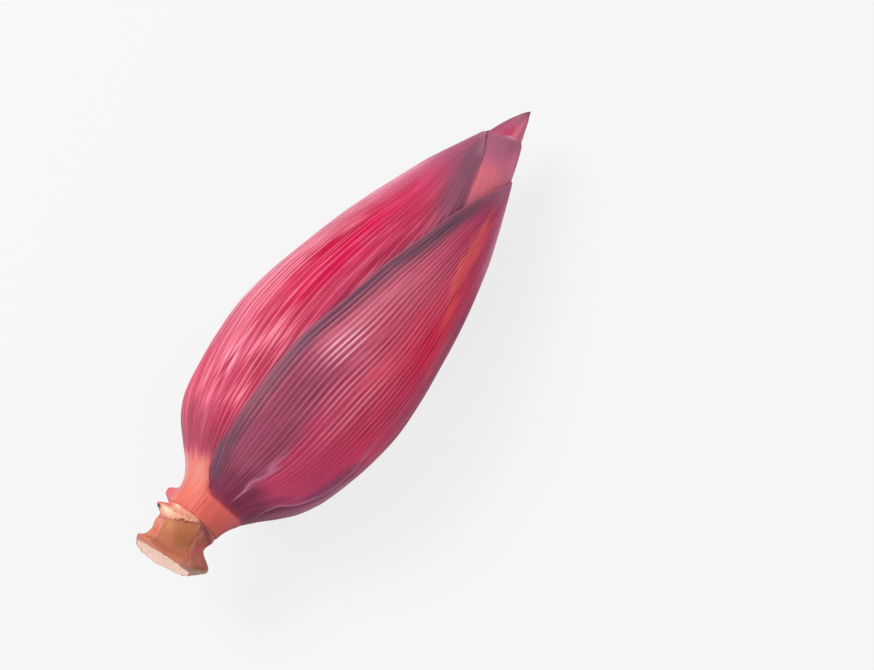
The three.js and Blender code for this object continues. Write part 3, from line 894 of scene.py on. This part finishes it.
def masks_stem(station, meridian):
    s, m = wavering(station, meridian, 211, 0.35, 1.6, (3, 3), (12, 14))
    plate_top = curve([(0, -26), (4, -32), (8, -38), (14, -41), (24, -42)])(station)
    plate_foot = curve([(0, 20), (4, 27), (8, 34), (12, 39), (15, 34), (18, 25), (22, 14)])(station)
    turn = turn_of(m)
    plate_end = curve([
        (-180, 18), (-100, 17), (-60, 14.8), (-40, 15.3), (-20, 17.2), (0, 19.6), (10, 21.2), (20, 22.6),
        (60, 23), (180, 18)])(turn)
    cream_end = curve(
        [(-180, 20), (-100, 17.2), (-80, 17.8), (-60, 19.2), (-40, 21), (-20, 22.8), (0, 24)])(turn)
    lobe_end = curve([(20, 3.2), (45, 4.6), (60, 7), (76, 11.5), (90, 13), (130, 10), (180, 5)])(turn)
    beyond = s - plate_end
    within = rises(s, 0.6, 1.4) * falls(beyond, -0.7, 0.3)
    return dict(
        waist=rises(plate_top - m, 0, 6) * falls(beyond, -2.5, -0.8) * rises(s, 0.6, 2),
        tan=patch(s, m, 12.2, -74, 1.8, 30),
        bark=patch(s, m, 2.8, -44, 1.2, 10),
        salmon=patch(s, m, 7, -54, 2.6, 12),
        olive=rises(m, 28, 42) * falls(s - lobe_end, -2.0, 0.5),
        lobe_edge=bell(s - lobe_end, 1.3) * rises(m, 38, 52),
        rust=patch(s, m, 16, 30, 4.4, 9),
        # A painted shadow streak on the lower side, just before the bracts' bases.
        maroon=bell(s - 22.2 + 0.06 * (m - 15), 1.4) * between(m, 12, 28, 96, 130),
        rose=patch(s, m, 14.4, 62, 4.2, 22),
        plate=rises(m - plate_top, -2, 2) * falls(m - plate_foot, -4, 3) * within,
        ochre=patch(s, m, 13, -30, 2.6, 9) * within,
        russet=patch(s, m, 3, -10, 3.4, 28) * within,
        brown=patch(s, m, 12, 2, 4.6, 16) * within,
        shoulder=rises(beyond, 1.2, 3.0),
        cream=rises(beyond, -0.3, 0.5) * falls(s - cream_end, -0.7, 0.8) * between(m, -140, -105, 6, 16),
        pearl=patch(s, m, 18, -46, 1.9, 13) + 0.9 * patch(s, m, 22.4, -43, 1.2, 12),
        # A painted shadow line under the cream ridge.
        crack=bell(beyond + 0.25, 0.42) * between(m, -34, -18, 18, 30),
        dry=np.clip(2.2 * patch(station, meridian, 17.7, -84, 0.9, 26) - 0.5, 0, 1),
    )


# -------- materials


def linear(red, green, blue):
    """A colour given as 0 to 255 on a screen, as the shader takes it."""
    shares = [value / 255 for value in (red, green, blue)]
    return tuple(s / 12.92 if s <= 0.04045 else ((s + 0.055) / 1.055) ** 2.4 for s in shares) + (1.0,)


def feed(node, inputs):
    """Gives each of a node's sockets, by name or number, a value or another node's output."""
    for key, value in inputs.items():
        if isinstance(value, bpy.types.NodeSocket):
            node.id_data.links.new(value, node.inputs[key])
        else:
            node.inputs[key].default_value = value


class Shader:
    """A material's nodes, built by small calls that return sockets."""

    def __init__(self, name):
        self.material = bpy.data.materials.new(name)
        self.material.use_nodes = True
        self.tree = self.material.node_tree
        self.principled = self.tree.nodes["Principled BSDF"]

    def node(self, kind, **settings):
        node = self.tree.nodes.new(kind)
        for key, value in settings.items():
            setattr(node, key, value)
        return node

    def field(self, name, output="Fac"):
        return self.node("ShaderNodeAttribute", attribute_name=name).outputs[output]

    def math(self, operation, a, b, clamp=False):
        node = self.node("ShaderNodeMath", operation=operation, use_clamp=clamp)
        feed(node, {0: a, 1: b})
        return node.outputs[0]

    def mix(self, factor, a, b, blend="MIX"):
        node = self.node("ShaderNodeMix", data_type="RGBA", blend_type=blend)
        feed(node, {0: factor, 6: a, 7: b})
        return node.outputs[2]

    def noise(self, scale, stretch, detail):
        """Noise over the sheet's own coordinates in mm; stretch divides its size along each of them."""
        mapping = self.node("ShaderNodeMapping")
        feed(mapping, {"Scale": [scale * s for s in stretch], "Vector": self.field("flow", "Vector")})
        node = self.node("ShaderNodeTexNoise")
        feed(node, {"Scale": 1, "Detail": detail, "Roughness": NOISE_ROUGHNESS, "Vector": mapping.outputs[0]})
        return node.outputs["Fac"]

    def spread(self, value, low, high, start=0.0, end=1.0):
        """Takes low to high over to start to end."""
        node = self.node("ShaderNodeMapRange", clamp=True)
        feed(node, {"Value": value, "From Min": low, "From Max": high, "To Min": start, "To Max": end})
        return node.outputs[0]

    def bump(self, height, strength, distance):
        node = self.node("ShaderNodeBump")
        feed(node, {"Height": height, "Strength": strength, "Distance": distance})
        feed(self.principled, {"Normal": node.outputs[0]})

    def layered(self, colour, layers, noise=None, raggedness=None):
        """Lays each tint over a colour as its mask says, and unevenly where a noise is given."""
        for mask, (*tint, strength) in layers.items():
            amount = self.field(mask)
            if noise is not None:
                amount = self.math("MULTIPLY", amount, self.spread(noise, *NOISE_SPAN, *raggedness))
            amount = self.math("MULTIPLY", amount, strength, clamp=True)
            colour = self.mix(amount, colour, linear(*tint))
        return colour

    def finish(self, colour, tone, noise, roughness, specular):
        """The surface's colour, multiplied by a tone, and its roughness, which follows a noise."""
        grey = self.node("ShaderNodeCombineColor")
        feed(grey, {0: tone, 1: tone, 2: tone})
        colour = self.mix(1.0, colour, grey.outputs[0], "MULTIPLY")
        rough = self.spread(noise, *NOISE_SPAN, *roughness)
        feed(self.principled, {"Base Color": colour, "Roughness": rough, "Specular IOR Level": specular})


NOISE_ROUGHNESS = 0.6
NOISE_SPAN = (0.3, 0.7)  # most of a noise lies within it
FIBRE = (0.03, 1.0, 1.0)  # noise drawn out along the ribs
# The noises of a bract's skin, with their scales in 1 / mm.
STREAKS = dict(scale=0.55, stretch=FIBRE, detail=3.0)
THREADS = dict(scale=2.4, stretch=FIBRE, detail=2.0)
MOTTLING = dict(scale=0.09, stretch=(0.5, 1, 1), detail=5.0)
LEATHER_RAGGEDNESS = (0.7, 1.3)  # how much of a layer shows, at the least and the most
LEATHER_ROUGHNESS = (0.4, 0.56)
LEATHER_SPECULAR = 0.11
LEATHER_BUMP = (0.35, 0.00022)  # strength, and distance in m
DEEPER = (0.62, 0.2, 0.34, 1.0)  # what is left of each colour at the bottom of a groove: partly the groove's deeper colour, partly painted shade
# How strongly the ribs' colours show: darker and paler runs, the grooves (partly painted shade) and the
# crests' painted highlights.
DEEP_RIBS = 0.82
DEEP_GROOVES = 0.95
PALE_RIBS = 0.5
PALE_CRESTS = 0.6
GLEAM = 0.95


def leather(name, ground, crest_tint, gleam_tint, **layers):
    """A bract's skin: waxy, streaked along its ribs, in colours that lie where the sheet's masks say.

    Each layer is named for its mask, and gives its colour and its strength; later ones lie on top.
    """
    shader = Shader(name)
    streaks = shader.noise(**STREAKS)
    threads = shader.noise(**THREADS)
    mottling = shader.noise(**MOTTLING)
    colour = shader.layered(linear(*ground), layers, streaks, LEATHER_RAGGEDNESS)
    # The darker runs of ribs, and the grooves, darkened partly by their deeper colour and partly as painted
    # shade.
    for mask, strength in (("deep_rib", DEEP_RIBS), ("groove", DEEP_GROOVES)):
        amount = shader.math("MULTIPLY", shader.field(mask), strength, clamp=True)
        colour = shader.mix(amount, colour, DEEPER, "MULTIPLY")
    # The paler runs of ribs, and painted highlights on the crests and where they gleam.
    crests = dict(
        pale_rib=(*crest_tint, PALE_RIBS), crest=(*crest_tint, PALE_CRESTS), gleam=(*gleam_tint, GLEAM))
    colour = shader.layered(colour, crests)
    firm = shader.spread(shader.field("soft"), 0.0, 1.0, 1.0, 0.35)
    fine = shader.spread(threads, 0.25, 0.75, -0.2, 0.18)
    broad = shader.spread(mottling, *NOISE_SPAN, 0.92, 1.08)
    tone = shader.math("MULTIPLY", shader.math("ADD", shader.math("MULTIPLY", fine, firm), 1.0), broad)
    shader.finish(colour, tone, streaks, LEATHER_ROUGHNESS, LEATHER_SPECULAR)
    height = shader.math("ADD", threads, shader.math("MULTIPLY", streaks, 1.5))
    shader.bump(shader.math("MULTIPLY", height, firm), *LEATHER_BUMP)
    return shader.material


def outer_skin():
    return leather(
        "outer_skin", (172, 57, 102), (214, 116, 138), (244, 196, 208),
        rose=(203, 99, 121, 0.85), wine=(189, 61, 89, 0.7), crimson=(236, 16, 80, 0.8),
        mauve=(124, 64, 82, 0.75), flank=(115, 44, 88, 0.85), frost=(176, 124, 144, 0.6),
        # lilac: a painted highlight along the seam.
        plum=(107, 40, 63, 0.85), lilac=(198, 124, 156, 0.75), haze=(175, 45, 84, 0.7),
        ember=(236, 78, 84, 0.7), glow=(234, 108, 98, 0.65), shade=(96, 24, 48, 0.65),
        # under: painted shade over the underside.
        shine=(200, 118, 134, 0.6), pale=(226, 164, 186, 0.55), under=(108, 32, 52, 0.7),
        dusk=(119, 68, 83, 0.9), lavender=(172, 106, 134, 0.7), slate=(80, 60, 80, 0.75),
        thread=(178, 118, 140, 0.6), cushion=(206, 96, 86, 1.0), flush=(155, 36, 82, 0.7),
        # line: a painted shadow along the cushion's edge.
        line=(151, 60, 60, 0.8), edge=(153, 95, 115, 0.5),
    )


def second_skin():
    return leather(
        "second_skin", (187, 62, 98), (246, 138, 160), (250, 170, 186),
        pink=(217, 99, 122, 0.8), flush=(206, 56, 88, 0.7), rose=(175, 30, 61, 0.7),
        # The second tint on the next line: partly the waxy bloom, partly a painted sheen.
        crimson=(200, 7, 74, 0.95), bloom=(240, 182, 202, 0.75), back=(160, 60, 88, 0.7),
        # The third tint on the next line is painted shadow from the outer bract's margin.
        mauve=(152, 74, 104, 0.78), grey=(116, 78, 96, 0.85), hem=(112, 44, 68, 0.35),
        shoulder=(145, 58, 78, 0.7), neck=(212, 108, 92, 1.0), salmon=(200, 157, 159, 0.7),
        # The third tint on the next line is painted shade in the corner by the outer bract's margin.
        peach=(210, 145, 137, 0.6), ginger=(199, 100, 68, 0.6), scarlet=(162, 14, 43, 0.7),
        nub=(204, 74, 86, 0.9), spot=(238, 130, 92, 0.6), glow=(152, 104, 128, 0.6),
        edge=(197, 132, 156, 0.5),
    )


def third_skin():
    return leather(
        "third_skin", (179, 96, 125), (226, 130, 146), (240, 160, 170),
        peach=(222, 113, 124, 0.9), mauve=(155, 93, 113, 0.85), wine=(130, 52, 84, 0.5),
        # The second tint on the next line is a painted highlight on the margin's lip.
        blush=(230, 117, 151, 0.7), bright=(246, 164, 174, 0.8), edge=(182, 53, 110, 0.5),
    )


def fourth_skin():
    return leather(
        "fourth_skin", (167, 95, 115), (214, 116, 138), (240, 160, 170),
        red=(188, 54, 96, 0.8), mauve=(241, 126, 153, 0.7), pale=(216, 114, 145, 0.7),
        lilac=(147, 61, 107, 0.7), dusk=(113, 60, 76, 0.8), edge=(160, 96, 110, 0.4),
    )


def inner_skin():
    return leather("inner_skin", (206, 110, 126), (236, 150, 160), (240, 170, 180))


# The noises of the stem's skin, and what else leather has numbers for above.
STEM_FIBRES = dict(scale=1.1, stretch=(0.15, 1, 0.4), detail=5.0)
STEM_BLOTCHES = dict(scale=0.22, stretch=(1, 1, 1), detail=5.0)
STEM_PORES = dict(scale=2.2, stretch=(1, 0.9, 1), detail=3.0)
STEM_RAGGEDNESS = (0.85, 1.2)
STEM_ROUGHNESS = (0.5, 0.72)
STEM_SPECULAR = 0.35
STEM_BUMP = (0.5, 0.0004)


def stem_skin():
    shader = Shader("stem_skin")
    fibres = shader.noise(**STEM_FIBRES)
    blotches = shader.noise(**STEM_BLOTCHES)
    pores = shader.noise(**STEM_PORES)
    layers = dict(
        waist=(209, 134, 112, 0.9), tan=(214, 133, 115, 0.7), bark=(188, 103, 18, 0.8),
        salmon=(219, 86, 68, 0.8), olive=(160, 122, 104, 0.95), lobe_edge=(141, 82, 58, 0.8),
        # The second tint on the next line is a painted shadow streak.
        rust=(150, 84, 68, 0.95), maroon=(126, 48, 64, 0.9), rose=(206, 92, 90, 0.9),
        plate=(177, 104, 72, 1.0), ochre=(191, 129, 75, 0.8), russet=(178, 100, 75, 0.7),
        brown=(157, 89, 39, 0.8), shoulder=(236, 120, 104, 0.9), cream=(224, 157, 129, 1.0),
        # The second tint on the next line is a painted shadow line under the cream ridge.
        pearl=(253, 216, 190, 0.8), crack=(150, 84, 56, 0.8), dry=(64, 32, 22, 1.0),
    )
    colour = shader.layered(linear(181, 107, 89), layers, blotches, STEM_RAGGEDNESS)
    flesh = shader.mix(shader.spread(pores, 0.35, 0.7), linear(252, 220, 206), linear(244, 192, 176))
    flesh = shader.mix(shader.spread(blotches, 0.4, 0.7, 0.0, 0.5), flesh, linear(246, 198, 170))
    colour = shader.mix(shader.field("face"), colour, flesh)
    rind = shader.math("MULTIPLY", shader.field("rind"), shader.spread(blotches, 0.35, 0.6, 0.3, 0.9))
    colour = shader.mix(rind, colour, linear(196, 128, 100))
    tone = shader.spread(fibres, 0.3, 0.72, 0.9, 1.07)
    shader.finish(colour, tone, fibres, STEM_ROUGHNESS, STEM_SPECULAR)
    shader.bump(shader.math("ADD", fibres, pores), *STEM_BUMP)
    return shader.material


# -------- the pieces

SKINS = {
    "bract_outer": outer_skin,
    "bract_second": second_skin,
    "bract_third": third_skin,
    "bract_fourth": fourth_skin,
    "inner_bud": inner_skin,
    "stem": stem_skin,
}
MAKERS = {"inner_bud": inner_bud, "stem": stem}

for node in SKINS:
    piece = MAKERS[node]() if node in MAKERS else bract_surface(node)
    piece.data.materials.append(SKINS[node]())
    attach(piece, "root")
    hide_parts(node)

# -------- floor, light and camera

CAMERA_ELEVATION = 75
CAMERA_HEADING = 37.3056
CAMERA_RIGHT = 40.269
CAMERA_UP = -4.342
CAMERA_BACK = 996.967
LENS = 85
SENSOR_WIDTH = 36
CLIP_START = 0.01
WHITE = (1, 1, 1, 1)
SKY_STRENGTH = 0.45
LIGHTS_AIM = (0, 0, 0.04)  # the point that the panels' directions are measured from, in m
FLOOR_SIZE = 6.0
FLOOR_ROUGHNESS = 0.9
FLOOR_ALBEDO = 0.12
FLOOR_GLOW = 0.782  # a translucent table lit a little from below, which keeps shadows faint


def aim(thing, place, forward, up):
    right = np.cross(forward, up)
    for row in range(3):
        for column, axis in enumerate((right, up, -forward, place)):
            thing.matrix_world[row][column] = axis[row]


def add_camera():
    flat = cosine(CAMERA_ELEVATION)
    forward = np.array([flat * cosine(CAMERA_HEADING), flat * sine(CAMERA_HEADING), -sine(CAMERA_ELEVATION)])
    right = np.array([sine(CAMERA_HEADING), -cosine(CAMERA_HEADING), 0])
    up = np.cross(right, forward)
    from_middle = right * CAMERA_RIGHT + up * CAMERA_UP - forward * CAMERA_BACK
    data = bpy.data.cameras.new("camera")
    data.lens = LENS
    data.sensor_width = SENSOR_WIDTH
    data.clip_start = CLIP_START
    camera = add_object("camera", data)
    aim(camera, place_points(APEX / 2, 0, 0) + from_middle * MM, forward, up)
    bpy.context.scene.camera = camera


def add_panel(name, direction, distance, size, power):
    """A soft round light that faces the blossom's middle; direction is from there to the light."""
    direction = np.array(direction, float)
    direction /= np.linalg.norm(direction)
    data = bpy.data.lights.new(name, "AREA")
    data.shape = "DISK"
    data.size = size
    data.energy = power
    side = np.cross(-direction, (0.0, 0.0, 1.0))
    side /= np.linalg.norm(side)
    place = direction * distance + LIGHTS_AIM
    aim(add_object(name, data), place, -direction, np.cross(side, -direction))


def add_floor():
    half = FLOOR_SIZE / 2
    corners = [(-half, -half, 0), (half, -half, 0), (half, half, 0), (-half, half, 0)]
    mesh = bpy.data.meshes.new("floor")
    mesh.from_pydata(corners, [], [(0, 1, 2, 3)])
    shader = Shader("floor")
    feed(shader.principled, {
        "Base Color": (FLOOR_ALBEDO, FLOOR_ALBEDO, FLOOR_ALBEDO, 1), "Roughness": FLOOR_ROUGHNESS,
        "Specular IOR Level": 0, "Emission Color": WHITE, "Emission Strength": FLOOR_GLOW,
    })
    mesh.materials.append(shader.material)
    floor = add_object("floor", mesh)


def add_sky(strength):
    world = bpy.data.worlds.new("studio")
    world.use_nodes = True
    feed(world.node_tree.nodes["Background"], {"Color": WHITE, "Strength": strength})
    bpy.context.scene.world = world


def towards(left, up, high):
    """A direction given by the picture's left and up, and by height."""
    flat_up = np.array([cosine(CAMERA_HEADING), sine(CAMERA_HEADING), 0])
    flat_left = np.array([-sine(CAMERA_HEADING), cosine(CAMERA_HEADING), 0])
    return flat_left * left + flat_up * up + (0, 0, high)


bpy.context.scene.view_settings.view_transform = "Standard"
add_floor()
add_sky(SKY_STRENGTH)
add_panel("key", towards(0.6, 0.35, 1.0), distance=1.9, size=1.1, power=29)
add_panel("side", towards(-0.62, 0.2, 0.75), distance=1.9, size=0.45, power=6)
add_panel("low", towards(0.6, -0.8, 0.4), distance=1.6, size=0.6, power=6)
add_camera()
